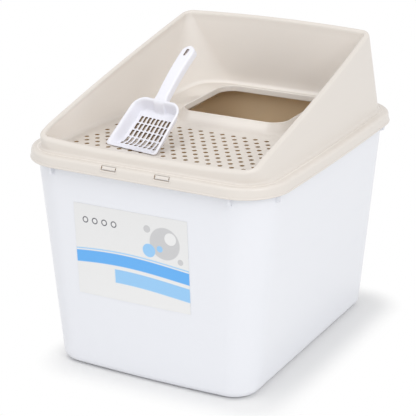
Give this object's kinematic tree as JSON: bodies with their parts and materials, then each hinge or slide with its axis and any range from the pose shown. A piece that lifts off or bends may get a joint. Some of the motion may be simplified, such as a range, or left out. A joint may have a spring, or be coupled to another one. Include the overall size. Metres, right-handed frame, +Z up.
{
  "type": "top entry litter box",
  "caption": "Tall tapered litter box with a top entry lid, a slanted splash wall round a perforated deck, a collared opening at the rear and a slotted scoop.",
  "frame": {"origin": "on the floor, under the middle of the lid", "axes": "+Z up, -Y out of the low front where the label is, +X to the right seen from the front"},
  "size_m": [0.42, 0.475, 0.454],
  "materials": {
    "white_plastic": "satin",
    "beige_plastic": "satin",
    "scoop_plastic": "satin",
    "label_paper": "satin"
  },
  "bodies": {
    "tub": {"tub": "white_plastic", "label": "label_paper"},
    "lid": {"lid": "beige_plastic"},
    "scoop": {"scoop": "scoop_plastic"}
  },
  "joints": [
    {"name": "lid_lift", "type": "slide", "parent": "tub", "child": "lid", "axis": [0, 0, 1], "range_m": [0, 0.15]},
    {"name": "scoop_lift", "type": "slide", "parent": "lid", "child": "scoop", "axis": [0, 0, 1], "range_m": [0, 0.16]}
  ]
}
